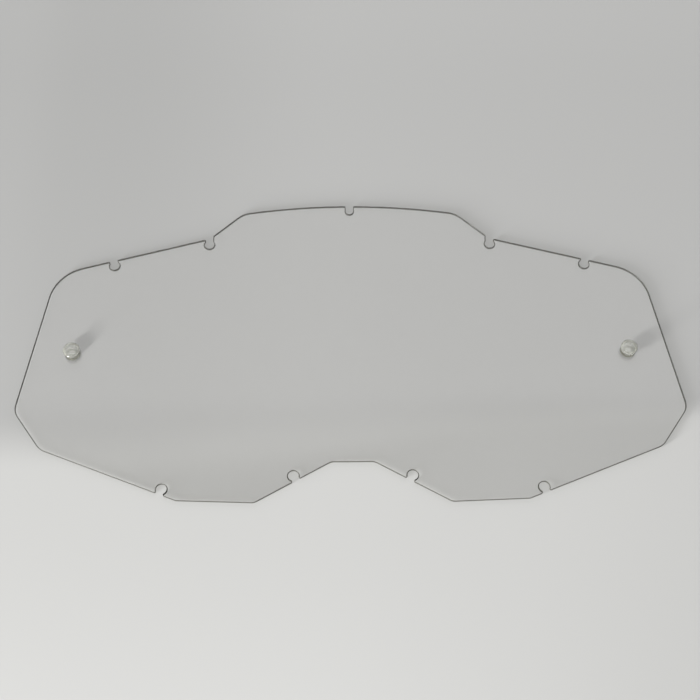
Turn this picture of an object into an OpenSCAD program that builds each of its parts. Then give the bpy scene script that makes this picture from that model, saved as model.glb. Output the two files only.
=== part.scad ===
// Clear one-sheet lens for motocross goggles, with edge notches and two tear-off posts.
// Width runs along X, the forehead edge faces +Y and the outer face looks up, along +Z.
// It lies with its outer face up, and the flanges under the posts stand on Z = 0.

/* [Sheet] */
// Full width between the two rounded ends
lens_width = 190; // [184:0.5:196]
// Full height from the lower flats to the top of the crown
lens_height = 95; // [92:0.5:98]
// Thickness of the sheet
sheet_t = 1; // [0.8:0.1:1.4]

/* [Crown and step] */
// Radius of the long arc at the top
crown_r = 200; // [190:5:260]
// Half width of the crown, where its arc would meet the step
crown_half = 32.3; // [31:0.1:34]
// Rounding between the crown and the step
crown_corner_r = 7; // [4:0.5:9]
// Distance from the middle to the foot of the step
step_foot_x = 42.2; // [41.5:0.1:43]
// Depth of the foot of the step below the top
step_foot_drop = 11.4; // [10.5:0.1:12.5]

/* [Shoulders and ends] */
// Distance from the end of the sheet in to the shoulder corner
shoulder_inset = 7.8; // [6:0.1:10]
// Depth of the shoulder corner below the top
shoulder_drop = 23.4; // [22:0.1:26]
// Rounding of the shoulder corner
shoulder_r = 12.5; // [8:0.5:16]
// Depth of the corner at the widest point below the top
end_drop = 67.6; // [64:0.1:70]
// Rounding of that corner
end_r = 5; // [3:0.5:8]

/* [Lower edge] */
// Distance from the end of the sheet in to the lower outer corner
cheek_inset = 7.9; // [6:0.1:10]
// Height of the lower outer corner above the bottom
cheek_rise = 16; // [14:0.1:18]
// Rounding of the lower outer corner
cheek_r = 5; // [3:0.5:7]
// Distance from the middle to the outer end of the lower flat
flat_outer_x = 48.5; // [46:0.1:49.5]
// Rise of the lower flat from its inner end to its outer end
flat_rise = 0.75; // [0.3:0.05:1.5]
// Rounding at the outer end of the lower flat
flat_outer_r = 2.5; // [1:0.5:4]
// Distance from the middle to the inner end of the lower flat
flat_inner_x = 27.1; // [25:0.1:29]
// Rounding at the inner end of the lower flat
flat_inner_r = 3; // [1:0.5:5]

/* [Nose cut-out] */
// Half width of the top of the nose cut-out
nose_top_half = 6; // [5:0.1:8]
// Height of the nose cut-out above the bottom
nose_rise = 11.75; // [10:0.05:14]
// Rounding of the two top corners of the nose cut-out
nose_top_r = 3; // [1:0.5:5]

/* [Edge notches] */
// Radius of the round pockets
pocket_r = 1.5; // [1.4:0.05:1.7]
// Depth of the pocket centres below the edge
pocket_depth = 1.6; // [1.5:0.05:2]
// Depth of the inner upper pocket centres below the foot of the step
foot_pocket_depth = 1.95; // [1.85:0.05:2.3]
// Width of the mouth of each pocket
mouth_w = 2.2; // [1.8:0.05:2.4]
// Rounding of the lips of every notch
lip_r = 0.4; // [0.2:0.05:0.4]
// Distance from the middle to the outer upper notches
shoulder_notch_x = 70.55; // [66:0.05:72]
// Distance from the middle to the outer lower notches
cheek_notch_x = 53.15; // [52.5:0.05:58]
// Distance from the middle to the notches in the nose slopes
nose_notch_x = 15.7; // [12:0.05:20]
// Width of the straight slot in the middle of the crown
slot_w = 2.3; // [1.8:0.1:3]
// Depth of the straight slot
slot_depth = 2.9; // [2.4:0.1:3.6]

/* [Tear-off posts] */
// Distance from the end of the sheet in to each post
post_inset = 14.75; // [12:0.05:18]
// Depth of the posts below the top
post_drop = 49.25; // [45:0.05:52]
// Radius of the flange on the inner face
flange_r = 2.2; // [2.1:0.05:3.2]
// Thickness of the flange
flange_t = 0.4; // [0.35:0.05:1]
// Radius of the shank through the sheet
shank_r = 1.6; // [1.4:0.05:1.7]
// Gap around the shank in its hole
shank_gap = 0.1; // [0.05:0.05:0.15]
// Radius of the collar on the outer face
collar_r = 2; // [1.9:0.05:2.3]
// Thickness of the collar
collar_t = 0.2; // [0.15:0.05:0.5]
// Radius of the neck between the collar and the head
neck_r = 1.5; // [1.3:0.05:1.7]
// Height of the neck, the room for a stack of tear-off films
neck_h = 0.7; // [0.6:0.05:1.4]
// Radius of the head
head_r = 2.4; // [2.3:0.05:2.6]
// Height of the head
head_h = 1.5; // [1.45:0.05:2.2]
// Radius of the dome on the head
dome_r = 5; // [4.6:0.1:6]
// Rounding between the dome and the side of the head
head_round = 0.4; // [0.3:0.05:0.5]
// Rounding of the flange's rim and of the head's lower rim
rim_round = 0.1; // [0.05:0.05:0.15]

/* [Hidden] */

clear_colour = [0.86, 0.88, 0.86, 0.35];
post_colour = [0.8, 0.82, 0.78, 0.6];
// Facets on screen for small circles and for the long arc
fine = 72;
very_fine = 720;
// How far a straight piece runs on past an arc that trims it
over = 3;
// How far an arc stands past the straight edges it rounds, so that it crosses them cleanly
hair = 0.002;

end_x = lens_width / 2;
top_y = lens_height / 2;
bottom_y = -top_y;
post_x = end_x - post_inset;
post_y = top_y - post_drop;
hole_r = shank_r + shank_gap;

function unit(v) = v / norm(v);
// The vector v turned a quarter turn to the left, and to the right
function left_of(v) = [-v[1], v[0]];
function right_of(v) = [v[1], -v[0]];
function mirrored(p) = [-p[0], p[1]];
// The point of the line through a and b at this x
function at_x(a, b, x) = a + (b - a) * (x - a[0]) / (b[0] - a[0]);
// The point where the line through p along u meets the line through q along v
function crossing(p, u, q, v) = p + u * ((q - p) * left_of(v)) / (u * left_of(v));

// A corner is [place, rounding]. These give, for corner i of a list cs that runs with the
// solid on its left, half the angle inside the corner, and the centre of the arc in it
function half_angle(cs, i) =
  acos(unit(cs[i - 1][0] - cs[i][0]) * unit(cs[i + 1][0] - cs[i][0])) / 2;
function arc_centre(cs, i) =
  let (back = unit(cs[i - 1][0] - cs[i][0]), on = unit(cs[i + 1][0] - cs[i][0]))
  cs[i][0] + unit(back + on) * (cs[i][1] - hair) / sin(half_angle(cs, i));
function turns_left(cs, i) =
  (cs[i][0] - cs[i - 1][0]) * right_of(cs[i + 1][0] - cs[i][0]) > 0;
// The arcs of all rounded corners that turn left, which fill, or right, which hollow
function arcs(cs, left) = [
  for (i = [1:len(cs) - 2])
    if (cs[i][1] > 0 && turns_left(cs, i) == left) [arc_centre(cs, i), cs[i][1]]
];
// The corners as points, with each rounded one cut off from the start to the end of its arc
function cut_corner(cs, i) =
  let (cut = cs[i][1] / tan(half_angle(cs, i)))
  [for (j = [i - 1, i + 1]) cs[i][0] + unit(cs[j][0] - cs[i][0]) * cut];
function points(cs) = [
  for (i = [0:len(cs) - 1]) each cs[i][1] > 0 ? cut_corner(cs, i) : [cs[i][0]]
];

// The centre of the arc of radius r that rounds a straight side into a larger arc.
// The larger arc has centre c and radius big. The side runs through p along up,
// and inside points from it into the solid
function fillet_centre(c, big, p, up, inside, r) =
  let (foot = p + inside * (r - hair), w = foot - c, k = w * up, apart = big - r + hair)
  foot + up * (sqrt(k * k - w * w + apart * apart) - k);
// The point of the larger arc nearest to that arc's centre f
function touch(c, big, f) = c + unit(f - c) * big;
// A point out past the larger arc, on the line from a through b
function beyond(a, b, reach) = b + unit(b - a) * reach;

// The crown's arc and the corners of the right half's straight edges
crown_c = [0, top_y - crown_r];
crown_corner = [crown_half, crown_c[1] + sqrt(crown_r * crown_r - crown_half * crown_half)];
step_foot = [step_foot_x, top_y - step_foot_drop];
shoulder = [end_x - shoulder_inset, top_y - shoulder_drop];
cheek = [end_x - cheek_inset, bottom_y + cheek_rise];
flat_outer = [flat_outer_x, bottom_y + flat_rise];
flat_inner = [flat_inner_x, bottom_y];
nose_top = [nose_top_half, bottom_y + nose_rise];

// The corner at the widest point, moved in or out until its arc reaches just to end_x
end_y = top_y - end_drop;
end_first = [[cheek, 0], [[end_x, end_y], end_r], [shoulder, 0]];
end_past = arc_centre(end_first, 1)[0] + end_r - end_x;
end_corner = [end_x - end_past, end_y];

// The rounding from the crown into the step
step_up = unit(crown_corner - step_foot);
crown_fillet = fillet_centre(crown_c, crown_r, crown_corner, step_up, left_of(step_up), crown_corner_r);
crown_touch = touch(crown_c, crown_r, crown_fillet);
step_touch = crown_fillet - left_of(step_up) * (crown_corner_r - hair);

// The straight slot in the middle of the crown, and its right lip
slot_r = slot_w / 2;
slot_c = [0, top_y - slot_depth + slot_r];
slot_wall = slot_r - hair;
slot_fillet = fillet_centre(crown_c, crown_r, [slot_wall, top_y], [0, 1], [1, 0], lip_r);
slot_touch = touch(crown_c, crown_r, slot_fillet);
slot_lip = [slot_wall, slot_fillet[1]];

// A notch is [pocket centre, direction into the sheet, edge before, edge after],
// where an edge is two points of a line
function edge_notch(a, b, x) =
  let (into = left_of(unit(b - a)))
  [at_x(a, b, x) + into * pocket_depth, into, [a, b], [a, b]];
nose_notch = edge_notch(nose_top, flat_inner, nose_notch_x);
cheek_notch = edge_notch(flat_outer, cheek, cheek_notch_x);
shoulder_notch = edge_notch(shoulder, step_foot, shoulder_notch_x);
foot_notch = [
  step_foot - [0, foot_pocket_depth],
  [0, -1],
  [shoulder, step_foot],
  [step_foot, crown_corner]
];
notches = [nose_notch, cheek_notch, shoulder_notch, foot_notch];
// The four corners of a notch's mouth, in the order of the edge
function wall_top(n, edge, side) = crossing(edge[0], edge[1] - edge[0], n[0] + side, n[1]);
function mouth(n) =
  let (side = left_of(n[1]) * mouth_w / 2)
  [
    [wall_top(n, n[2], side), lip_r],
    [n[0] + side, 0],
    [n[0] - side, 0],
    [wall_top(n, n[3], -side), lip_r]
  ];

// The right half's corners, from the middle of the nose cut-out round to the crown
half_corners = concat(
  [[[0, nose_top[1]], 0], [nose_top, nose_top_r]],
  mouth(nose_notch),
  [[flat_inner, flat_inner_r], [flat_outer, flat_outer_r]],
  mouth(cheek_notch),
  [[cheek, cheek_r], [end_corner, end_r], [shoulder, shoulder_r]],
  mouth(shoulder_notch),
  mouth(foot_notch),
  [[step_touch, 0]]
);
half_points = concat(
  points(half_corners),
  [
    beyond(step_touch, crown_touch, over),
    beyond(slot_lip, slot_touch, over),
    slot_lip,
    [slot_wall, slot_c[1]]
  ]
);
outline_points = concat(
  half_points,
  [for (i = [len(half_points) - 1:-1:1]) mirrored(half_points[i])]
);
filling_arcs = concat(
  arcs(half_corners, true),
  [[crown_fillet, crown_corner_r], [slot_fillet, lip_r]]
);
hollow_arcs = concat(
  arcs(half_corners, false),
  [for (n = notches) [n[0], pocket_r]],
  [[[post_x, post_y], hole_r]]
);

module disc(arc, facets = fine) {
  translate(arc[0]) circle(r = arc[1], $fn = facets);
}

module both_sides(list) {
  for (arc = list) {
    disc(arc);
    disc([mirrored(arc[0]), arc[1]]);
  }
}

module sheet_outline() {
  difference() {
    union() {
      intersection() {
        polygon(outline_points);
        disc([crown_c, crown_r], very_fine);
      }
      both_sides(filling_arcs);
    }
    both_sides(hollow_arcs);
    disc([slot_c, slot_r]);
  }
}

// The levels of a post, from the flange's underside up
sheet_top = flange_t + sheet_t;
neck_z = sheet_top + collar_t;
head_z = neck_z + neck_h;
post_top = head_z + head_h;
dome_c = [0, post_top - dome_r];
head_fillet = fillet_centre(dome_c, dome_r, [head_r, head_z], [0, 1], [-1, 0], head_round);
head_touch = touch(dome_c, dome_r, head_fillet);
head_side = [head_r, head_fillet[1]];
post_corners = [
  [[0, 0], 0],
  [[flange_r, 0], rim_round],
  [[flange_r, flange_t], rim_round],
  [[shank_r, flange_t], 0],
  [[shank_r, sheet_top], 0],
  [[collar_r, sheet_top], 0],
  [[collar_r, neck_z], 0],
  [[neck_r, neck_z], 0],
  [[neck_r, head_z], 0],
  [[head_r, head_z], rim_round],
  [head_side, 0]
];
post_points = concat(
  points(post_corners),
  [beyond(head_side, head_touch, over), [0, post_top + over]]
);

module post_profile() {
  intersection() {
    polygon(post_points);
    disc([dome_c, dome_r]);
  }
  for (arc = arcs(post_corners, true)) disc(arc);
  disc([head_fillet, head_round]);
}

module tear_off_post(side) {
  color(post_colour)
    translate([side * post_x, post_y, 0])
      rotate_extrude($fn = fine) post_profile();
}

module lens() {
  color(clear_colour)
    translate([0, 0, flange_t])
      linear_extrude(sheet_t) sheet_outline();
}

module left_tear_off_post() {
  tear_off_post(-1);
}

module right_tear_off_post() {
  tear_off_post(1);
}

lens();
left_tear_off_post();
right_tear_off_post();
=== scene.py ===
"""Clear one-sheet goggle lens with two tear-off posts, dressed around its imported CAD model."""

import math

import bpy
import numpy as np
from bpy.props import FloatProperty, FloatVectorProperty, IntProperty, PointerProperty
from mathutils import Matrix, Vector
from mathutils.geometry import delaunay_2d_cdt


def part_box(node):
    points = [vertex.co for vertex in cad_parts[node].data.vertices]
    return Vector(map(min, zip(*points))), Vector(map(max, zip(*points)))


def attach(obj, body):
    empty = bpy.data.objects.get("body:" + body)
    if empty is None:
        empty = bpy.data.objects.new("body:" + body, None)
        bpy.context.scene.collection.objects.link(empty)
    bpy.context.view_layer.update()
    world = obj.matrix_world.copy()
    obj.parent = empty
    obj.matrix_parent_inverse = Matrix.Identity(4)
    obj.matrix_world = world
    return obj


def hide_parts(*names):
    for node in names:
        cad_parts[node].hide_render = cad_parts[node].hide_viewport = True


bl_info = {
    "name": "Clear Goggle Lens",
    "version": (1, 0, 0),
    "blender": (4, 5, 0),
    "location": "View3D > Sidebar > Goggle Lens",
    "description": "Builds a clear goggle lens with edge notches and two tear-off posts",
    "category": "Add Mesh",
}

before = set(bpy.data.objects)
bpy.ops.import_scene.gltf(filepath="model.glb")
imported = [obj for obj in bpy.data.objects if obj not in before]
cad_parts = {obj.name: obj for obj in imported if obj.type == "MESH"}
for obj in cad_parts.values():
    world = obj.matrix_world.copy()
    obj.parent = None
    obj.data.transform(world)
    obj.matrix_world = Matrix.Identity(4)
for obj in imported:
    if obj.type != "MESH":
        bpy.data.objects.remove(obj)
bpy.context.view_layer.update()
lens_low, lens_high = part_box("lens")
right_low, right_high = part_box("right_tear_off_post")

MM = 0.001
BODY = "root"

# The two directions of the sheet's plane
ACROSS = np.array([1.0, 0.0])
ALONG = np.array([0.0, 1.0])

# How finely the round forms are divided: the steps are angles, and a chord is in metres
ARC_STEP = math.radians(6)
LIP_STEP = math.radians(12)
CORNER_STEP = math.radians(15)
DOME_STEP = math.radians(3)
FINE_STEP = 0.001
LONGEST_CHORD = 1.2 * MM
FEWEST_CHORDS = 4
BOWL_POINTS = 37
HOLE_POINTS = 72
ROUNDING_ROWS = 6
CRISP_ANGLE = math.radians(40)

# Refractive indices of the sheet's polycarbonate and of the posts' clear moulded plastic
SHEET_IOR = 1.586
POST_IOR = 1.49


def length_value(name, description, default):
    """A length in metres that a user can change."""
    return FloatProperty(
        name=name, description=description, default=default, unit="LENGTH"
    )


def angle_value(name, description, degrees):
    """An angle that a user can change."""
    return FloatProperty(
        name=name,
        description=description,
        default=math.radians(degrees),
        subtype="ANGLE",
    )


def plain_value(name, description, default):
    """A plain number that a user can change."""
    return FloatProperty(name=name, description=description, default=default)


def colour_value(name, description, default):
    """A colour that a user can change."""
    return FloatVectorProperty(
        name=name,
        description=description,
        default=default,
        subtype="COLOR",
        min=0,
        max=1,
    )


class SheetSizes(bpy.types.PropertyGroup):
    """Sizes of the flat sheet and the shape of its edge."""

    width: length_value(
        "Width",
        "Full width between the two rounded ends",
        lens_high.x - lens_low.x,
    )
    top: length_value(
        "Top",
        "Highest point of the crown, from the middle of the sheet",
        lens_high.y,
    )
    bottom: length_value(
        "Bottom", "Level of the inner ends of the lower flats", -lens_high.y
    )
    under: length_value(
        "Underside", "Height of the sheet's inner face above the floor", lens_low.z
    )
    over: length_value(
        "Outer face", "Height of the sheet's outer face above the floor", lens_high.z
    )
    crown_r: length_value(
        "Crown radius", "Radius of the long arc at the top", 200 * MM
    )
    crown_half: length_value(
        "Crown half width",
        "Half width of the crown, where its arc would meet the step",
        32.3 * MM,
    )
    crown_corner_r: length_value(
        "Crown corner", "Rounding between the crown and the step", 7 * MM
    )
    step_foot_x: length_value(
        "Step foot", "Distance from the middle to the foot of the step", 42.2 * MM
    )
    step_foot_drop: length_value(
        "Step foot drop", "Depth of the foot of the step below the top", 11.4 * MM
    )
    shoulder_inset: length_value(
        "Shoulder inset",
        "Distance from the end of the sheet in to the shoulder corner",
        7.8 * MM,
    )
    shoulder_drop: length_value(
        "Shoulder drop", "Depth of the shoulder corner below the top", 23.4 * MM
    )
    shoulder_r: length_value(
        "Shoulder rounding", "Rounding of the shoulder corner", 12.5 * MM
    )
    end_drop: length_value(
        "End drop",
        "Depth of the corner at the widest point below the top",
        67.6 * MM,
    )
    end_r: length_value(
        "End rounding", "Rounding of the corner at the widest point", 5 * MM
    )
    cheek_inset: length_value(
        "Cheek inset",
        "Distance from the end of the sheet in to the lower outer corner",
        7.9 * MM,
    )
    cheek_rise: length_value(
        "Cheek rise", "Height of the lower outer corner above the bottom", 16 * MM
    )
    cheek_r: length_value(
        "Cheek rounding", "Rounding of the lower outer corner", 5 * MM
    )
    flat_outer_x: length_value(
        "Flat outer end",
        "Distance from the middle to the outer end of the lower flat",
        48.5 * MM,
    )
    flat_rise: length_value(
        "Flat rise",
        "Rise of the lower flat from its inner end to its outer end",
        0.75 * MM,
    )
    flat_outer_r: length_value(
        "Flat outer rounding",
        "Rounding at the outer end of the lower flat",
        2.5 * MM,
    )
    flat_inner_x: length_value(
        "Flat inner end",
        "Distance from the middle to the inner end of the lower flat",
        27.1 * MM,
    )
    flat_inner_r: length_value(
        "Flat inner rounding", "Rounding at the inner end of the lower flat", 3 * MM
    )
    nose_top_half: length_value(
        "Nose half width", "Half width of the top of the nose cut-out", 6 * MM
    )
    nose_rise: length_value(
        "Nose rise", "Height of the nose cut-out above the bottom", 11.75 * MM
    )
    nose_top_r: length_value(
        "Nose rounding",
        "Rounding of the two top corners of the nose cut-out",
        3 * MM,
    )
    pocket_r: length_value("Pocket radius", "Radius of the round pockets", 1.5 * MM)
    pocket_depth: length_value(
        "Pocket depth", "Depth of the pocket centres below the edge", 1.6 * MM
    )
    foot_pocket_depth: length_value(
        "Step pocket depth",
        "Depth of the inner upper pocket centres below the foot of the step",
        1.95 * MM,
    )
    mouth_w: length_value("Mouth width", "Width of the mouth of each pocket", 2.2 * MM)
    lip_r: length_value("Lip rounding", "Rounding of the lips of every notch", 0.4 * MM)
    shoulder_notch_x: length_value(
        "Shoulder notch",
        "Distance from the middle to the outer upper notches",
        70.55 * MM,
    )
    cheek_notch_x: length_value(
        "Cheek notch",
        "Distance from the middle to the outer lower notches",
        53.15 * MM,
    )
    nose_notch_x: length_value(
        "Nose notch",
        "Distance from the middle to the notches in the nose slopes",
        15.7 * MM,
    )
    slot_w: length_value(
        "Slot width",
        "Width of the straight slot in the middle of the crown",
        2.3 * MM,
    )
    slot_depth: length_value("Slot depth", "Depth of the straight slot", 2.9 * MM)
    edge_r: length_value(
        "Edge rounding",
        "Rounding that the cutting die leaves along the inner face",
        0.26 * MM,
    )
    burr_r: length_value(
        "Fine rounding",
        "Finer rounding along the outer face and round the two holes",
        0.08 * MM,
    )


class PostSizes(bpy.types.PropertyGroup):
    """Sizes of the two clear tear-off posts."""

    x: length_value(
        "Distance from the middle",
        "Distance from the middle of the sheet to each post",
        (right_low.x + right_high.x) / 2,
    )
    y: length_value(
        "Level of the posts",
        "Place of the posts along the sheet's height",
        (right_low.y + right_high.y) / 2,
    )
    flange_r: length_value(
        "Flange radius", "Radius of the flange on the inner face", 2.2 * MM
    )
    shank_r: length_value(
        "Shank radius", "Radius of the shank through the sheet", 1.6 * MM
    )
    shank_gap: length_value(
        "Gap in the hole", "Gap around the shank in its hole", 0.1 * MM
    )
    collar_r: length_value(
        "Collar radius", "Radius of the collar on the outer face", 2 * MM
    )
    collar_t: length_value("Collar thickness", "Thickness of the collar", 0.2 * MM)
    neck_r: length_value(
        "Neck radius",
        "Radius of the neck that a stack of tear-off films sits round",
        1.5 * MM,
    )
    neck_h: length_value(
        "Neck height", "Height of the neck between the collar and the head", 0.7 * MM
    )
    head_r: length_value("Head radius", "Radius of the head", 2.4 * MM)
    dome_r: length_value("Dome radius", "Radius of the dome on the head", 5 * MM)
    head_round: length_value(
        "Head rounding",
        "Rounding between the dome and the side of the head",
        0.4 * MM,
    )
    rim_round: length_value(
        "Rim rounding",
        "Rounding of the flange's rim and of the head's lower rim",
        0.1 * MM,
    )
    inner_round: length_value(
        "Inner rounding",
        "Rounding in the inner corners, which the mould leaves",
        0.1 * MM,
    )
    clearance: length_value(
        "Clearance",
        "Air left between the post and the two faces of the sheet",
        0.012 * MM,
    )
    segments: IntProperty(
        name="Segments", description="Faces round each post", default=96, min=12
    )


class FinishColours(bpy.types.PropertyGroup):
    """Colours of the clear plastics and their edges, and of the floor."""

    sheet: colour_value("Sheet", "Tint of the clear sheet", (0.956, 0.9555, 0.949))
    edge: colour_value(
        "Cut edge",
        "Colour of the sheet's cut edge from outside",
        (0.15, 0.15, 0.133),
    )
    # Painted shade: the cut edge is painted near black where it is seen from inside the sheet
    edge_shade_inside: colour_value(
        "Cut edge through the sheet",
        "Colour of the cut edge seen from inside the sheet",
        (0.02, 0.02, 0.01),
    )
    post: colour_value("Post", "Tint of the clear posts", (0.86, 0.87, 0.82))
    # Painted shade: the posts are painted this darker colour from just above the head's lower rim down
    post_painted_shade: colour_value(
        "Post below the head",
        "Duller tint of the posts from the lower rim of the head down, where dust settles",
        (0.6, 0.6, 0.53),
    )
    # The floor's colours paint light and shade: lighter in front of the lens as a pool of light, darker
    # behind it as shade
    back_left: colour_value(
        "Floor behind on the left",
        "Colour of the floor behind the lens on the left",
        (0.419, 0.419, 0.416),
    )
    back_right: colour_value(
        "Floor behind",
        "Colour of the floor behind the lens elsewhere",
        (0.464, 0.464, 0.461),
    )
    front_near: colour_value(
        "Floor in front",
        "Colour of the floor just in front of the lens",
        (0.582, 0.582, 0.575),
    )
    front_far: colour_value(
        "Floor far in front",
        "Colour of the floor further in front of the lens",
        (0.618, 0.618, 0.611),
    )


class StageSettings(bpy.types.PropertyGroup):
    """The camera's place and the lights."""

    aim_x: length_value(
        "Aim across", "Where the camera looks, across the sheet", -0.385 * MM
    )
    aim_y: length_value(
        "Aim along", "Where the camera looks, along the sheet's height", -1.5 * MM
    )
    distance: length_value(
        "Distance", "Distance from the camera to the sheet", 360 * MM
    )
    elevation: angle_value("Elevation", "Angle of the camera above the sheet", 64)
    turn: angle_value("Turn", "Angle of the camera round the sheet", -2.33)
    roll: angle_value("Roll", "Tilt of the picture", 1.795)
    focal: plain_value(
        "Focal length", "Focal length in millimetres on a 36 mm sensor", 64.13
    )
    lamp_place: FloatVectorProperty(
        name="Lamp",
        description="Middle of the low window lamp",
        default=(-249 * MM, -218 * MM, 110 * MM),
        subtype="TRANSLATION",
    )
    lamp_width: length_value("Lamp width", "Width of the window lamp", 50 * MM)
    lamp_height: length_value("Lamp height", "Height of the window lamp", 150 * MM)
    lamp_power: plain_value(
        "Lamp power",
        "Strength of the window lamp, the same at any distance",
        16.2,
    )
    side_light: plain_value(
        "Light from the sides",
        "Brightness of the room all round, up to the panel's height",
        0.42,
    )
    overhead_light: plain_value(
        "Light from overhead", "Brightness overhead, round the two panels", 0.2
    )
    ceiling_light: plain_value(
        "Ceiling panel", "Brightness of the soft panel straight overhead", 1.65
    )
    panel_light: plain_value(
        "Light panel", "Brightness of the soft panel up behind the lens", 1.73
    )
    floor_size: length_value("Floor size", "Width of the floor", 12.0)


# Plane geometry, in arrays of points with X and Y


def unit(v):
    """v at length 1."""
    return v / np.hypot(*v)


def left_of(v):
    """v turned a quarter turn to the left."""
    return np.array([-v[1], v[0]])


def at_x(a, b, x):
    """The point of the line through a and b at this x."""
    return a + (b - a) * (x - a[0]) / (b[0] - a[0])


def crossing(p, u, q, v):
    """Where the line through p along u meets the line through q along v."""
    return p + u * ((q - p) @ left_of(v)) / (u @ left_of(v))


def arc(centre, start, end, step=ARC_STEP):
    """Points along the shorter arc round centre from start to end: the centre plus the radius times
    the cosine and sine of evenly spaced angles."""
    r = np.hypot(*(start - centre))
    first = math.atan2(*(start - centre)[::-1])
    last = math.atan2(*(end - centre)[::-1])
    sweep = (last - first + math.pi) % (2 * math.pi) - math.pi
    n = max(
        FEWEST_CHORDS,
        math.ceil(abs(sweep) / step),
        math.ceil(abs(sweep) * r / LONGEST_CHORD),
    )
    t = np.linspace(first, first + sweep, n + 1)
    return centre + r * np.stack([np.cos(t), np.sin(t)], 1)


def rounded(before, corner, after, r, step=ARC_STEP):
    """The arc of radius r that rounds a corner. Its centre is on the corner's bisector, r over the sine
    of half the angle away, and it starts and ends r over the tangent of that half from the corner."""
    back, on = unit(before - corner), unit(after - corner)
    half = math.acos(np.clip(back @ on, -1, 1)) / 2
    centre = corner + unit(back + on) * r / math.sin(half)
    cut = r / math.tan(half)
    return arc(centre, corner + back * cut, corner + on * cut, step)


def fillet_centre(c, big, p, up, inside, r):
    """The centre of the arc of radius r that rounds a straight side into a larger arc of radius big
    round c. The side runs through p along up, and inside points from it into the solid."""
    foot = p + inside * r
    w = foot - c
    k = w @ up
    return foot + up * (math.sqrt(k * k - w @ w + (big - r) ** 2) - k)


def notch(pocket, into, before, after, s):
    """A round pocket with a narrower mouth: the first lip's arc, the pocket's arc from one wall round
    its bottom to the other, and the second lip's arc. before and after are two points of the edge on
    each side."""
    side = left_of(into) * s.mouth_w / 2
    first = crossing(before[0], before[1] - before[0], pocket + side, into)
    second = crossing(after[0], after[1] - after[0], pocket - side, into)
    open_half = math.asin(s.mouth_w / 2 / s.pocket_r)
    t = np.linspace(open_half, 2 * math.pi - open_half, BOWL_POINTS)[:, None]
    return np.concatenate(
        [
            rounded(before[0], first, first + into, s.lip_r, LIP_STEP),
            pocket + s.pocket_r * (np.cos(t) * -into + np.sin(t) * left_of(into)),
            rounded(second + into, second, after[1], s.lip_r, LIP_STEP),
        ]
    )


def edge_notch(a, b, x, s):
    """A notch square to the straight edge from a to b, at this x."""
    into = left_of(unit(b - a))
    return notch(at_x(a, b, x) + into * s.pocket_depth, into, (a, b), (a, b), s)


def outline(s):
    """The sheet's outline, counter-clockwise. Straight edges join the named corners of the right half,
    each corner is an arc, the notches are let in, and the crown is one long arc. The left half is the
    right half mirrored."""
    end_x = s.width / 2
    crown_c = np.array([0, s.top - s.crown_r])
    crown_y = crown_c[1] + math.sqrt(s.crown_r**2 - s.crown_half**2)
    crown_corner = np.array([s.crown_half, crown_y])
    step_foot = np.array([s.step_foot_x, s.top - s.step_foot_drop])
    shoulder = np.array([end_x - s.shoulder_inset, s.top - s.shoulder_drop])
    cheek = np.array([end_x - s.cheek_inset, s.bottom + s.cheek_rise])
    flat_outer = np.array([s.flat_outer_x, s.bottom + s.flat_rise])
    flat_inner = np.array([s.flat_inner_x, s.bottom])
    nose_top = np.array([s.nose_top_half, s.bottom + s.nose_rise])
    nose_middle = np.array([0, nose_top[1]])
    # The corner at the widest point moves until its arc reaches just to the end of the sheet
    end = np.array([end_x, s.top - s.end_drop])
    for step in (ARC_STEP, FINE_STEP, FINE_STEP, FINE_STEP):
        end[0] -= rounded(cheek, end, shoulder, s.end_r, step)[:, 0].max() - end_x
    # The rounding from the step into the crown, and the lip of the straight slot
    up = unit(crown_corner - step_foot)
    fillet = fillet_centre(
        crown_c, s.crown_r, crown_corner, up, left_of(up), s.crown_corner_r
    )
    fillet_end = crown_c + unit(fillet - crown_c) * s.crown_r
    slot_r = s.slot_w / 2
    slot_c = np.array([0, s.top - s.slot_depth + slot_r])
    slot_top = np.array([slot_r, s.top])
    lip = fillet_centre(crown_c, s.crown_r, slot_top, ALONG, ACROSS, s.lip_r)
    lip_start = crown_c + unit(lip - crown_c) * s.crown_r
    half = np.concatenate(
        [
            nose_middle[None],
            rounded(nose_middle, nose_top, flat_inner, s.nose_top_r),
            edge_notch(nose_top, flat_inner, s.nose_notch_x, s),
            rounded(nose_top, flat_inner, flat_outer, s.flat_inner_r),
            rounded(flat_inner, flat_outer, cheek, s.flat_outer_r),
            edge_notch(flat_outer, cheek, s.cheek_notch_x, s),
            rounded(flat_outer, cheek, end, s.cheek_r),
            rounded(cheek, end, shoulder, s.end_r),
            rounded(end, shoulder, step_foot, s.shoulder_r),
            edge_notch(shoulder, step_foot, s.shoulder_notch_x, s),
            notch(
                step_foot - ALONG * s.foot_pocket_depth,
                -ALONG,
                (shoulder, step_foot),
                (step_foot, crown_corner),
                s,
            ),
            arc(fillet, fillet - left_of(up) * s.crown_corner_r, fillet_end),
            arc(crown_c, fillet_end, lip_start)[1:],
            arc(lip, lip_start, np.array([slot_r, lip[1]]), LIP_STEP)[1:],
            arc(slot_c, slot_c + ACROSS * slot_r, slot_c - ALONG * slot_r),
        ]
    )
    return np.concatenate([half, half[-2:0:-1] * [-1, 1]])


def circle(centre, r, n):
    """n points round a circle, clockwise, because a hole keeps the solid on its left too."""
    t = -np.arange(n) * 2 * math.pi / n
    return np.array(centre) + r * np.stack([np.cos(t), np.sin(t)], 1)


# Meshes


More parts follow.
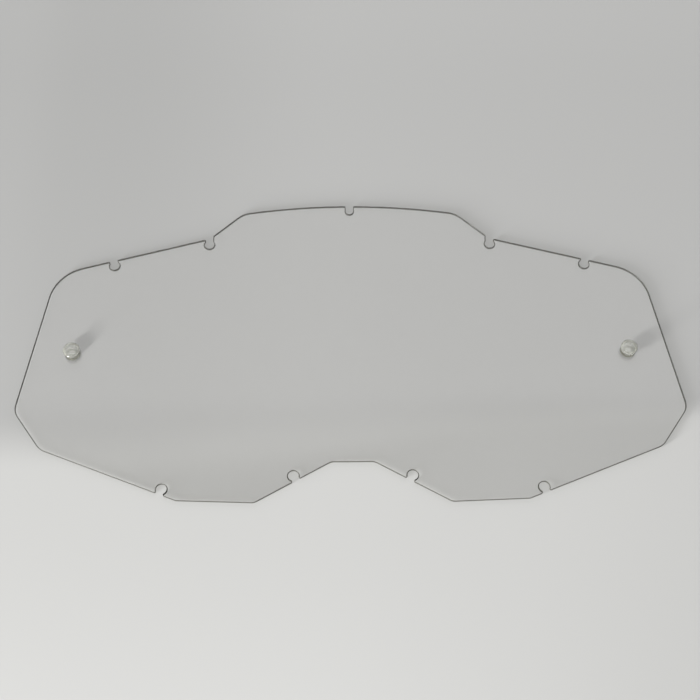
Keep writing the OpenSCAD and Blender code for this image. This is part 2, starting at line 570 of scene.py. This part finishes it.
def new_piece(name, points, faces, materials, smooth, picks=None):
    """A mesh object at the origin from arrays of points and faces. smooth and picks give each face's
    shading and the number of its material, and edges steeper than CRISP_ANGLE stay crisp."""
    mesh = bpy.data.meshes.new(name)
    mesh.from_pydata(points.tolist(), [], faces)
    if picks is not None:
        mesh.polygons.foreach_set("material_index", np.asarray(picks, np.int32))
    mesh.set_sharp_from_angle(angle=CRISP_ANGLE)
    mesh.polygons.foreach_set("use_smooth", np.asarray(smooth, bool))
    for material in materials:
        mesh.materials.append(material)
    mesh.update()
    mesh.validate()
    piece = bpy.data.objects.new(name, mesh)
    bpy.context.scene.collection.objects.link(piece)
    return piece


def ring_faces(first, n, rows):
    """Quads between rows closed rings of n points each. The points of a ring are next to each other."""
    i = np.arange(n)
    j = np.roll(i, -1)
    base = first + n * np.arange(rows - 1)[:, None]
    return np.stack([base + i, base + j, base + n + j, base + n + i], -1).reshape(-1, 4)


def wall_rows(s, lower):
    """How far in from the outline, and how high, each row of the wall lies, from the inner face up to
    the outer face: a quarter circle of radius lower, the straight wall, and a finer quarter circle."""
    t = np.linspace(0, math.pi / 2, ROUNDING_ROWS)
    inset, rise = 1 - np.sin(t), 1 - np.cos(t)
    return (
        np.concatenate([lower * inset, s.burr_r * inset[::-1]]),
        np.concatenate([s.under + lower * rise, s.over - s.burr_r * rise[::-1]]),
    )


def inward(loop):
    """For each point of a closed loop with the solid on its left, the way in that keeps both edges at
    the point the same distance off: the sum of the edges' normals over one plus their product."""
    along = np.roll(loop, -1, 0) - loop
    along /= np.hypot(*along.T)[:, None]
    normal = np.stack([-along[:, 1], along[:, 0]], 1)
    last = np.roll(normal, 1, 0)
    return (normal + last) / (1 + (normal * last).sum(1))[:, None]


def filled(points, loops):
    """Triangles, facing up, between points that the walls already have. loops holds their numbers,
    first round the outline and then round each hole."""
    inside_the_loops, same_point = 1, 1e-9
    ids = np.concatenate(loops)
    starts = np.cumsum([0] + [len(loop) for loop in loops])
    edge, *holes = [list(range(a, b)) for a, b in zip(starts[:-1], starts[1:])]
    made_points, _, triangles, _, _, owners = delaunay_2d_cdt(
        [Vector(v) for v in points[ids, :2].tolist()],
        [],
        [edge, *(hole[::-1] for hole in holes)],
        inside_the_loops,
        same_point,
    )
    if len(made_points) != len(ids):
        raise RuntimeError("the sheet's outline crosses itself")
    # A triangle in a hole belongs to two of the loops, and one in the sheet to the first alone
    tri = ids[np.array([f for f, of in zip(triangles, owners) if of == [0]])]
    corner = points[tri, :2]
    a, b = corner[:, 1] - corner[:, 0], corner[:, 2] - corner[:, 0]
    backward = a[:, 0] * b[:, 1] - a[:, 1] * b[:, 0] < 0
    tri[backward] = tri[backward][:, ::-1]
    return tri


def sheet_mesh(s, p):
    """The flat sheet. Each wall is the profile of wall_rows carried round the outline or round a
    post's hole, and the two faces fill what lies between their innermost rings."""
    hole_r = p.shank_r + p.shank_gap
    walls = [(outline(s), s.edge_r)]
    walls += [(circle((x, p.y), hole_r, HOLE_POINTS), s.burr_r) for x in (-p.x, p.x)]
    points, faces, low, high = [], [], [], []
    first = 0
    for loop, lower in walls:
        inset, height = wall_rows(s, lower)
        ring = loop + inward(loop) * inset[:, None, None]
        z = np.broadcast_to(height[:, None, None], (*ring.shape[:2], 1))
        points.append(np.concatenate([ring, z], 2).reshape(-1, 3))
        faces.append(ring_faces(first, len(loop), len(inset)))
        low.append(first + np.arange(len(loop)))
        first += len(loop) * len(inset)
        high.append(first - len(loop) + np.arange(len(loop)))
    points = np.concatenate(points)
    caps = [filled(points, low)[:, ::-1], filled(points, high)]
    # Only the wall round the outline is cut. The holes are as clear as the faces
    cut, clear = len(faces[0]), sum(len(f) for f in faces[1:] + caps)
    smooth = [True] * sum(len(f) for f in faces) + [False] * sum(len(f) for f in caps)
    picks = [1] * cut + [0] * clear
    return points, [f for part in faces + caps for f in part.tolist()], smooth, picks


def post_profile(s, p):
    """Radius and height down one side of a post, from the middle of the flange's underside up to the
    middle of the dome: straight steps with each corner an arc, and the dome one large arc."""
    top = right_high.z
    under, over = s.under - p.clearance, s.over + p.clearance
    neck_z = s.over + p.collar_t
    head_z = neck_z + p.neck_h
    # Each corner's radius and height, and its rounding
    corners = [
        (0, 0, 0),
        (p.flange_r, 0, p.rim_round),
        (p.flange_r, under, p.rim_round),
        (p.shank_r, under, p.inner_round / 2),
        (p.shank_r, over, 0),
        (p.collar_r, over, 0),
        (p.collar_r, neck_z, p.rim_round),
        (p.neck_r, neck_z, p.inner_round),
        (p.neck_r, head_z, p.inner_round),
        (p.head_r, head_z, p.rim_round),
        (p.head_r, top, 0),
    ]
    place = [np.array(c[:2]) for c in corners]
    parts = [place[0][None]]
    for i, (_, _, r) in enumerate(corners[1:-1], 1):
        parts.append(
            rounded(place[i - 1], place[i], place[i + 1], r, CORNER_STEP)
            if r
            else place[i][None]
        )
    dome_c = np.array([0, top - p.dome_r])
    side = np.array([p.head_r, head_z])
    f = fillet_centre(dome_c, p.dome_r, side, ALONG, -ACROSS, p.head_round)
    dome_start = dome_c + unit(f - dome_c) * p.dome_r
    parts.append(arc(f, np.array([p.head_r, f[1]]), dome_start))
    parts.append(arc(dome_c, dome_start, dome_c + ALONG * p.dome_r, DOME_STEP)[1:])
    return np.concatenate(parts)


def turned_mesh(profile, centre, n):
    """A profile turned round an upright axis through centre: the centre plus the radius times the
    cosine and sine of n angles. Its two ends are single points on the axis."""
    t = np.arange(n) * 2 * math.pi / n
    r, z = profile[1:-1].T
    x = centre[0] + r[:, None] * np.cos(t)
    y = centre[1] + r[:, None] * np.sin(t)
    side = np.stack([x, y, np.broadcast_to(z[:, None], x.shape)], -1).reshape(-1, 3)
    ends = np.array([[*centre, profile[0, 1]], [*centre, profile[-1, 1]]])
    points = np.concatenate([side, ends])
    i = np.arange(n)
    j = np.roll(i, -1)
    low, high = np.full(n, len(side)), np.full(n, len(side) + 1)
    last = len(side) - n
    faces = ring_faces(0, n, len(r)).tolist()
    faces += np.stack([j, i, low], 1).tolist()
    faces += np.stack([last + i, last + j, high], 1).tolist()
    return points, faces


# Materials


def node(tree, kind, values=None, **settings):
    """A new node of this kind with its settings, and values on its input sockets by name or number."""
    made = tree.nodes.new(kind)
    for name, value in settings.items():
        setattr(made, name, value)
    for name, value in (values or {}).items():
        if isinstance(value, bpy.types.NodeSocket):
            tree.links.new(value, made.inputs[name])
        else:
            made.inputs[name].default_value = value
    return made


def maths(tree, operation, a, b=0.0):
    """The result of a Math node."""
    return node(tree, "ShaderNodeMath", {0: a, 1: b}, operation=operation).outputs[0]


def ramp(tree, value, low, high, to_low=0.0, to_high=1.0):
    """value taken smoothly from low..high to to_low..to_high."""
    made = node(
        tree,
        "ShaderNodeMapRange",
        {
            "Value": value,
            "From Min": low,
            "From Max": high,
            "To Min": to_low,
            "To Max": to_high,
        },
        interpolation_type="SMOOTHSTEP",
    )
    return made.outputs["Result"]


def blend_colours(tree, share, a, b):
    """Colours a and b mixed by share, on the Mix node's sockets for colours."""
    made = node(tree, "ShaderNodeMix", {0: share, 6: a, 7: b}, data_type="RGBA")
    return made.outputs[2]


def blend_numbers(tree, share, a, b):
    """Numbers a and b mixed by share, on the Mix node's sockets for numbers."""
    made = node(tree, "ShaderNodeMix", {0: share, 2: a, 3: b}, data_type="FLOAT")
    return made.outputs[0]


def scaled(tree, colour, share):
    """A colour times a number."""
    values = {0: colour, "Scale": share}
    return node(tree, "ShaderNodeVectorMath", values, operation="SCALE").outputs[0]


def noise(tree, where, scale, detail):
    """The value of a noise at these coordinates."""
    values = {"Vector": where, "Scale": scale, "Detail": detail}
    return node(tree, "ShaderNodeTexNoise", values).outputs[0]


def bumped(tree, height, strength, distance):
    """The surface's normal where this height raises it."""
    values = {"Height": height, "Strength": strength, "Distance": distance}
    return node(tree, "ShaderNodeBump", values).outputs[0]


def backfacing(tree):
    """1 where a face is seen from inside the solid, and 0 elsewhere."""
    return node(tree, "ShaderNodeNewGeometry").outputs["Backfacing"]


def object_place(tree):
    """The Object coordinates of the surface."""
    return node(tree, "ShaderNodeTexCoord").outputs["Object"]


def whole(colour, share=1.0):
    """A colour property times this share, with an alpha of 1."""
    return (*(c * share for c in colour), 1.0)


def new_group(name, numbers, results):
    """A shader node group that takes coordinates and these numbers and gives these results, which are
    numbers too. It comes with its inputs and with the node that takes the results."""
    group = bpy.data.node_groups.new(name, "ShaderNodeTree")
    new_socket = group.interface.new_socket
    new_socket("Vector", in_out="INPUT", socket_type="NodeSocketVector")
    for label, default in numbers.items():
        socket = new_socket(label, in_out="INPUT", socket_type="NodeSocketFloat")
        socket.default_value = default
    for label in results:
        new_socket(label, in_out="OUTPUT", socket_type="NodeSocketFloat")
    given = group.nodes.new("NodeGroupInput").outputs
    end = group.nodes.new("NodeGroupOutput")
    return group, given, end


def handling_group():
    """Handling marks on clear plastic: a cloudy haze, and fine hairlines that run two ways, each where
    a stretched noise is near its middle value. It gives a roughness, a height and a mask."""
    haze_low, haze_high = 0.42, 0.72
    turns, stretch = (0.5, -1.1), 0.03
    middle, half_width = 0.5, 0.004
    group, given, end = new_group(
        "handling_marks",
        {
            "Haze Scale": 40.0,
            "Hairline Scale": 300.0,
            "Base Roughness": 0.02,
            "Haze": 0.02,
            "Hairlines": 0.05,
        },
        ("Roughness", "Height", "Marks"),
    )
    where = given["Vector"]
    cloud = noise(group, where, given["Haze Scale"], 3.0)
    haze = ramp(group, cloud, haze_low, haze_high)
    lines = []
    for turn in turns:
        values = {"Vector": where, "Rotation": (0, 0, turn), "Scale": (1, stretch, 1)}
        turned = node(group, "ShaderNodeMapping", values).outputs[0]
        thread = noise(group, turned, given["Hairline Scale"], 1.0)
        off = maths(group, "ABSOLUTE", maths(group, "SUBTRACT", thread, middle))
        lines.append(ramp(group, off, half_width, 0.0))
    thin = maths(group, "MULTIPLY", maths(group, "MAXIMUM", *lines), haze)
    rough = maths(group, "MULTIPLY", haze, given["Haze"])
    scratched = maths(group, "MULTIPLY", thin, given["Hairlines"])
    marked = maths(group, "ADD", rough, scratched)
    total = maths(group, "ADD", marked, given["Base Roughness"])
    group.links.new(total, end.inputs["Roughness"])
    group.links.new(maths(group, "MULTIPLY", thin, -1.0), end.inputs["Height"])
    group.links.new(thin, end.inputs["Marks"])
    return group


def cut_group():
    """The marks of a cutting die across a wall: fine upright lines, close together along the edge and
    long through the thickness, broken up by a coarser noise. It gives a shade, a roughness and a
    height."""
    upright_stretch, coarse_scale = 0.08, 180.0
    fine_share, coarse_share = 0.6, 0.4
    group, given, end = new_group(
        "die_cut_lines",
        {"Line Scale": 2500.0, "Base Roughness": 0.3, "Spread": 0.15},
        ("Shade", "Roughness", "Height"),
    )
    values = {"Vector": given["Vector"], "Scale": (1, 1, upright_stretch)}
    upright = node(group, "ShaderNodeMapping", values).outputs[0]
    fine = noise(group, upright, given["Line Scale"], 2.0)
    coarse = noise(group, given["Vector"], coarse_scale, 2.0)
    shade = maths(
        group,
        "ADD",
        maths(group, "MULTIPLY", fine, fine_share),
        maths(group, "MULTIPLY", coarse, coarse_share),
    )
    spread = maths(group, "MULTIPLY", shade, given["Spread"])
    rough = maths(group, "ADD", spread, given["Base Roughness"])
    group.links.new(shade, end.inputs["Shade"])
    group.links.new(rough, end.inputs["Roughness"])
    group.links.new(fine, end.inputs["Height"])
    return group


def new_material(name):
    """An empty node material and its tree."""
    material = bpy.data.materials.new(name)
    material.use_nodes = True
    material.node_tree.nodes.clear()
    return material, material.node_tree


def clear_surface(tree, shader, ior, passed, let_in=None, soft=None):
    """Finishes a clear material. What the camera, reflections and refractions meet is the shader, and
    light on its way to or from the floor goes straight through, less what each face mirrors at that
    angle. passed is the tint of light that leaves the solid through a face. let_in is that of light
    that enters it, and soft that of light which comes from all round, where they differ."""
    path = node(tree, "ShaderNodeLightPath").outputs
    side = backfacing(tree)
    seen_ior = blend_numbers(tree, side, ior, 1 / ior)
    mirrored = node(tree, "ShaderNodeFresnel", {"IOR": seen_ior}).outputs[0]
    tint = whole(passed)
    if let_in:
        tint = blend_colours(tree, side, tint, whole(let_in))
    if soft:
        tint = blend_colours(tree, path["Is Diffuse Ray"], tint, whole(soft))
    left = blend_colours(tree, mirrored, tint, (0, 0, 0, 1))
    open_light = node(tree, "ShaderNodeBsdfTransparent", {"Color": left}).outputs[0]
    straight = maths(tree, "MAXIMUM", path["Is Shadow Ray"], path["Is Diffuse Ray"])
    values = {0: straight, 1: shader.outputs[0], 2: open_light}
    mixed = node(tree, "ShaderNodeMixShader", values).outputs[0]
    node(tree, "ShaderNodeOutputMaterial", {"Surface": mixed})


def clear_sheet_material(colours, marks):
    """Clear polycarbonate: a smooth, faintly tinted glass with the least haze and hairlines from
    handling. Light that goes straight through takes half of the tint at each of the two faces."""
    marked_share = 0.97
    material, tree = new_material("clear_sheet")
    used = node(
        tree,
        "ShaderNodeGroup",
        {
            "Vector": object_place(tree),
            "Haze Scale": 45.0,
            "Hairline Scale": 260.0,
            "Base Roughness": 0.004,
            "Haze": 0.006,
            "Hairlines": 0.03,
        },
        node_tree=marks,
    ).outputs
    tint, marked = whole(colours.sheet), whole(colours.sheet, marked_share)
    shader = node(
        tree,
        "ShaderNodeBsdfPrincipled",
        {
            "Base Color": blend_colours(tree, used["Marks"], tint, marked),
            "Roughness": used["Roughness"],
            "IOR": SHEET_IOR,
            "Transmission Weight": 1.0,
            "Normal": bumped(tree, used["Height"], 0.05, 0.01 * MM),
        },
    )
    half_tint = tuple(math.sqrt(c) for c in colours.sheet)
    clear_surface(tree, shader, SHEET_IOR, passed=half_tint)
    return material


def cut_edge_material(colours, lines):
    """The sheet's cut edge: dull plastic with fine upright lines. Seen from inside the sheet it's
    painted a much darker olive, a painted shade, because little light gets there."""
    dark_share = 0.72
    material, tree = new_material("cut_edge")
    used = node(
        tree,
        "ShaderNodeGroup",
        {
            "Vector": object_place(tree),
            "Line Scale": 2600.0,
            "Base Roughness": 0.28,
            "Spread": 0.2,
        },
        node_tree=lines,
    ).outputs
    dark, light = whole(colours.edge, dark_share), whole(colours.edge)
    outside = blend_colours(tree, used["Shade"], dark, light)
    # Painted shade: the cut edge's colour where it is seen from inside the sheet
    inside = whole(colours.edge_shade_inside)
    shader = node(
        tree,
        "ShaderNodeBsdfPrincipled",
        {
            "Base Color": blend_colours(tree, backfacing(tree), outside, inside),
            "Roughness": used["Roughness"],
            "IOR": SHEET_IOR,
            "Transmission Weight": 0.06,
            "Specular IOR Level": 0.2,
            "Normal": bumped(tree, used["Height"], 0.35, 0.04 * MM),
        },
    )
    clear_surface(
        tree,
        shader,
        SHEET_IOR,
        passed=(0.95, 0.95, 0.935),
        let_in=(0.7, 0.7, 0.685),
    )
    return material


def clear_post_material(colours, marks, head_z):
    """Clear moulded plastic: a slightly warm, faintly milky glass with a soft ripple and more haze
    than the sheet. From just above the lower rim of the head, which is at height head_z, down it's
    painted darker, a painted shade under the head."""
    deep_share = 0.9
    shade_starts, shade_full = 0.3 * MM, 0.1 * MM
    material, tree = new_material("clear_post")
    where = object_place(tree)
    used = node(
        tree,
        "ShaderNodeGroup",
        {
            "Vector": where,
            "Haze Scale": 900.0,
            "Hairline Scale": 2500.0,
            "Base Roughness": 0.03,
            "Haze": 0.06,
            "Hairlines": 0.05,
        },
        node_tree=marks,
    ).outputs
    ripple = noise(tree, where, 500.0, 2.0)
    tint, deep = whole(colours.post), whole(colours.post, deep_share)
    unshaded = blend_colours(tree, ripple, tint, deep)
    height = node(tree, "ShaderNodeSeparateXYZ", {"Vector": where}).outputs["Z"]
    # Painted shade under the head: the base colour turns darker from just above the head's lower rim
    # down
    painted_shade = ramp(tree, height, head_z + shade_starts, head_z + shade_full)
    shader = node(
        tree,
        "ShaderNodeBsdfPrincipled",
        {
            "Base Color": blend_colours(tree, painted_shade, unshaded, whole(colours.post_painted_shade)),
            "Roughness": used["Roughness"],
            "IOR": POST_IOR,
            "Transmission Weight": 0.8,
            "Coat Weight": 1.0,
            "Coat Roughness": 0.02,
            "Normal": bumped(tree, ripple, 0.2, 0.1 * MM),
        },
    )
    clear_surface(
        tree, shader, POST_IOR, passed=(0.35, 0.35, 0.33), soft=(0.95, 0.95, 0.94)
    )
    return material


# Where the floor's painted light and shade change, in mm from the middle of the lens: the floor is
# painted lighter in front, as a pool of light, and darker behind and under the lens, as shade. The
# pairs go from one tone to the next, and a painted falloff is an axis, its two places, and the share
# of the tone at each
LEFT_TO_MIDDLE = (-75, 0)
NEAR_TO_FAR = (-50, -120)
RIGHT_TO_LEFT = (110, -20)
BEHIND_PAINTED_FALLOFF = (("Y", 90, 135, 1, 1.035), ("X", -85, -110, 1, 1.04))
FRONT_PAINTED_FALLOFF = (("X", -100, 10, 0.955, 1), ("X", 40, 105, 1, 0.97))
# The step from the lit floor in front to the painted shade behind lies mostly under the lens. It is
# wide at the left end and narrow at the right
STEP_ENDS = (-95, 95)
STEP_FRONT = (-38, -24)
STEP_BACK = (-20, -16)
GRAIN_SCALE, GRAIN_SHARE, GRAIN_COLOUR = 8.0, 0.03, (0.4, 0.4, 0.4)


def floor_material(colours):
    """A pale matt card with painted light and shade: it's painted lighter in front of the lens, as a
    pool of light, and darker behind it and under it, as shade, and its tone wanders faintly."""
    material, tree = new_material("pale_floor")
    where = object_place(tree)
    axes = node(tree, "ShaderNodeSeparateXYZ", {"Vector": where}).outputs

    def over(axis, places, *shares):
        """A ramp along an axis between two places in mm."""
        return ramp(tree, axes[axis], *(place * MM for place in places), *shares)

    def with_painted_falloff(tone, falloffs):
        """A tone with its painted falloffs of light."""
        for axis, start, end, *shares in falloffs:
            tone = scaled(tree, tone, over(axis, (start, end), *shares))
        return tone

    left, right = whole(colours.back_left), whole(colours.back_right)
    # Painted shade behind the lens, and a painted pool of light in front of it
    behind = blend_colours(tree, over("X", LEFT_TO_MIDDLE), left, right)
    near, far = whole(colours.front_near), whole(colours.front_far)
    away = maths(tree, "MULTIPLY", over("Y", NEAR_TO_FAR), over("X", RIGHT_TO_LEFT))
    before = blend_colours(tree, away, near, far)
    step_front = over("X", STEP_ENDS, *(place * MM for place in STEP_FRONT))
    step_back = over("X", STEP_ENDS, *(place * MM for place in STEP_BACK))
    step = ramp(tree, axes["Y"], step_front, step_back)
    tone = blend_colours(
        tree, step, with_painted_falloff(before, FRONT_PAINTED_FALLOFF), with_painted_falloff(behind, BEHIND_PAINTED_FALLOFF)
    )
    grain = maths(tree, "MULTIPLY", noise(tree, where, GRAIN_SCALE, 2.0), GRAIN_SHARE)
    tone = blend_colours(tree, grain, tone, whole(GRAIN_COLOUR))
    shader = node(tree, "ShaderNodeBsdfDiffuse", {"Color": tone, "Roughness": 0.5})
    node(tree, "ShaderNodeOutputMaterial", {"Surface": shader.outputs[0]})
    return material


# The stage

FLOOR_GAP = 0.02 * MM
SENSOR_WIDTH = 36.0
NEAREST, FARTHEST = 0.01, 20.0
ROOM_COLOUR = (1.0, 1.0, 0.995, 1.0)
LAMP_COLOUR = (1.0, 0.997, 0.98, 1.0)

# Where the room's light changes. OVERHEAD goes by the height of the direction that the light comes
# from, and the panels' straight edges go by its X over its Z and its Y over its Z: first where a
# panel starts and then where it has its full strength
OVERHEAD = (0.84, 0.93)
CEILING_ACROSS = (0.36, 0.26)
CEILING_ALONG = (0.26, 0.18)
PANEL_ACROSS = (1.2, 0.8)
PANEL_FAR = (1.5, 1.1)
# The panel's near edge starts later on the right, where a dim strip goes on below it
LEFT_TO_RIGHT = (-0.1, 0.2)
PANEL_NEAR_STARTS = (0.355, 0.41)
PANEL_NEAR_FULL = 0.447
STRIP_NEAR = (0.27, 0.34)
STRIP_STRENGTHS = (0.04, 0.35)
# Lower directions count as this high, so that nothing is divided by zero
LOWEST = 0.05


def add_floor(g, colours):
    """A flat square floor, a hair below the posts' flanges."""
    h = g.floor_size / 2
    corners = [[-h, -h], [h, -h], [h, h], [-h, h]]
    points = np.array([[*corner, -FLOOR_GAP] for corner in corners])
    floor = new_piece(
        "floor", points, [(0, 1, 2, 3)], [floor_material(colours)], [False]
    )


def add_room(g):
    """Soft light from all round, less of it overhead, with a soft panel on the ceiling and one up
    behind the lens. The second panel fades out below on the left, and on the right a dim strip goes
    on below it."""
    world = bpy.data.worlds.new("room")
    bpy.context.scene.world = world
    world.use_nodes = True
    tree = world.node_tree
    tree.nodes.clear()
    way = node(tree, "ShaderNodeTexCoord").outputs["Generated"]
    axes = node(tree, "ShaderNodeSeparateXYZ", {"Vector": way}).outputs
    height = maths(tree, "MAXIMUM", axes["Z"], LOWEST)
    depth = maths(tree, "DIVIDE", axes["Y"], height)
    across = maths(tree, "DIVIDE", axes["X"], height)
    aside = maths(tree, "ABSOLUTE", across)
    sides = ramp(tree, axes["Z"], *OVERHEAD, g.side_light, g.overhead_light)
    ceiling = maths(
        tree,
        "MULTIPLY",
        ramp(tree, aside, *CEILING_ACROSS),
        ramp(tree, maths(tree, "ABSOLUTE", depth), *CEILING_ALONG),
    )
    room = blend_numbers(tree, ceiling, sides, g.ceiling_light)
    strip = maths(
        tree,
        "MULTIPLY",
        ramp(tree, across, *LEFT_TO_RIGHT, *STRIP_STRENGTHS),
        ramp(tree, depth, *STRIP_NEAR),
    )
    near = ramp(tree, across, *LEFT_TO_RIGHT, *PANEL_NEAR_STARTS)
    panel = maths(
        tree,
        "MULTIPLY",
        ramp(tree, depth, near, PANEL_NEAR_FULL, strip),
        ramp(tree, depth, *PANEL_FAR),
    )
    panel = maths(tree, "MULTIPLY", panel, ramp(tree, aside, *PANEL_ACROSS))
    light = blend_numbers(tree, panel, room, g.panel_light)
    values = {"Color": ROOM_COLOUR, "Strength": light}
    back = node(tree, "ShaderNodeBackground", values).outputs[0]
    node(tree, "ShaderNodeOutputWorld", {"Surface": back})


def add_window(g):
    """A low, tall, narrow lamp in front on the left, which gives the posts their long soft shadows."""
    light = bpy.data.lights.new("low_window", "AREA")
    light.shape = "RECTANGLE"
    light.size, light.size_y = g.lamp_width, g.lamp_height
    light.energy = 1.0
    light.use_nodes = True
    tree = light.node_tree
    tree.nodes.clear()
    fall = node(tree, "ShaderNodeLightFalloff", {"Strength": g.lamp_power})
    values = {"Color": LAMP_COLOUR, "Strength": fall.outputs["Constant"]}
    glow = node(tree, "ShaderNodeEmission", values).outputs[0]
    node(tree, "ShaderNodeOutputLight", {"Surface": glow})
    lamp = bpy.data.objects.new("low_window", light)
    bpy.context.scene.collection.objects.link(lamp)
    place = Vector(g.lamp_place)
    lamp.location = place
    lamp.rotation_mode = "QUATERNION"
    lamp.rotation_quaternion = (-place).to_track_quat("-Z", "Y")
    lamp.visible_camera = False


def add_camera(g):
    """The photograph's camera. It looks from its elevation and turn at the aim point, rolled about its
    own axis."""
    e, a, r = g.elevation, g.turn, g.roll
    back = np.array(
        [math.sin(a) * math.cos(e), -math.cos(a) * math.cos(e), math.sin(e)]
    )
    right = np.array([math.cos(a), math.sin(a), 0.0])
    up = np.cross(back, right)
    across = right * math.cos(r) + up * math.sin(r)
    upward = up * math.cos(r) - right * math.sin(r)
    data = bpy.data.cameras.new("camera")
    data.lens, data.sensor_width = g.focal, SENSOR_WIDTH
    data.clip_start, data.clip_end = NEAREST, FARTHEST
    camera = bpy.data.objects.new("camera", data)
    bpy.context.scene.collection.objects.link(camera)
    aim = np.array([g.aim_x, g.aim_y, lens_high.z])
    turn = np.eye(4)
    turn[:3, :3] = np.stack([across, upward, back], 1)
    turn[:3, 3] = aim + back * g.distance
    camera.matrix_world = Matrix(turn.tolist())
    bpy.context.scene.camera = camera


class GOGGLE_OT_clear_sheet(bpy.types.Operator):
    """Build the flat clear sheet with its notches and its two holes"""

    bl_idname = "goggle.clear_sheet"
    bl_label = "Clear Sheet"
    bl_options = {"REGISTER", "UNDO"}

    def execute(self, context):
        scene = context.scene
        materials = [
            clear_sheet_material(scene.goggle_colours, handling_group()),
            cut_edge_material(scene.goggle_colours, cut_group()),
        ]
        points, faces, smooth, picks = sheet_mesh(scene.goggle_sheet, scene.goggle_post)
        sheet = new_piece("clear_sheet", points, faces, materials, smooth, picks)
        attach(sheet, BODY)
        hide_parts("lens")
        return {"FINISHED"}


class GOGGLE_OT_tear_off_posts(bpy.types.Operator):
    """Build the two clear posts that hold tear-off films"""

    bl_idname = "goggle.tear_off_posts"
    bl_label = "Tear-off Posts"
    bl_options = {"REGISTER", "UNDO"}

    def execute(self, context):
        scene = context.scene
        sizes = scene.goggle_post
        marks = bpy.data.node_groups["handling_marks"]
        head_z = scene.goggle_sheet.over + sizes.collar_t + sizes.neck_h
        material = clear_post_material(scene.goggle_colours, marks, head_z)
        profile = post_profile(scene.goggle_sheet, sizes)
        for side, x in (("left", -sizes.x), ("right", sizes.x)):
            points, faces = turned_mesh(profile, (x, sizes.y), sizes.segments)
            smooth = [True] * len(faces)
            post = new_piece(f"{side}_post", points, faces, [material], smooth)
            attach(post, BODY)
            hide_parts(f"{side}_tear_off_post")
        return {"FINISHED"}


class GOGGLE_OT_stage(bpy.types.Operator):
    """Build the floor, the lights and the camera"""

    bl_idname = "goggle.stage"
    bl_label = "Stage"
    bl_options = {"REGISTER", "UNDO"}

    def execute(self, context):
        scene = context.scene
        stage = scene.goggle_stage
        add_floor(stage, scene.goggle_colours)
        add_room(stage)
        add_window(stage)
        add_camera(stage)
        scene.view_settings.view_transform = "Standard"
        return {"FINISHED"}


class GOGGLE_PT_panel(bpy.types.Panel):
    """Lists the goggle lens's pieces and its stage"""

    bl_idname = "GOGGLE_PT_panel"
    bl_label = "Goggle Lens"
    bl_space_type = "VIEW_3D"
    bl_region_type = "UI"
    bl_category = "Goggle Lens"

    def draw(self, context):
        for operator in OPERATORS:
            self.layout.operator(operator.bl_idname)


OPERATORS = (
    GOGGLE_OT_clear_sheet,
    GOGGLE_OT_tear_off_posts,
    GOGGLE_OT_stage,
)
GROUPS = {
    "goggle_sheet": SheetSizes,
    "goggle_post": PostSizes,
    "goggle_colours": FinishColours,
    "goggle_stage": StageSettings,
}
CLASSES = (*GROUPS.values(), *OPERATORS, GOGGLE_PT_panel)


def register():
    for each in CLASSES:
        bpy.utils.register_class(each)
    for name, group in GROUPS.items():
        setattr(bpy.types.Scene, name, PointerProperty(type=group))


def unregister():
    for name in GROUPS:
        delattr(bpy.types.Scene, name)
    for each in reversed(CLASSES):
        bpy.utils.unregister_class(each)


def main():
    """Builds everything around the frame."""
    register()
    bpy.ops.goggle.clear_sheet()
    bpy.ops.goggle.tear_off_posts()
    bpy.ops.goggle.stage()


if __name__ == "__main__":
    main()
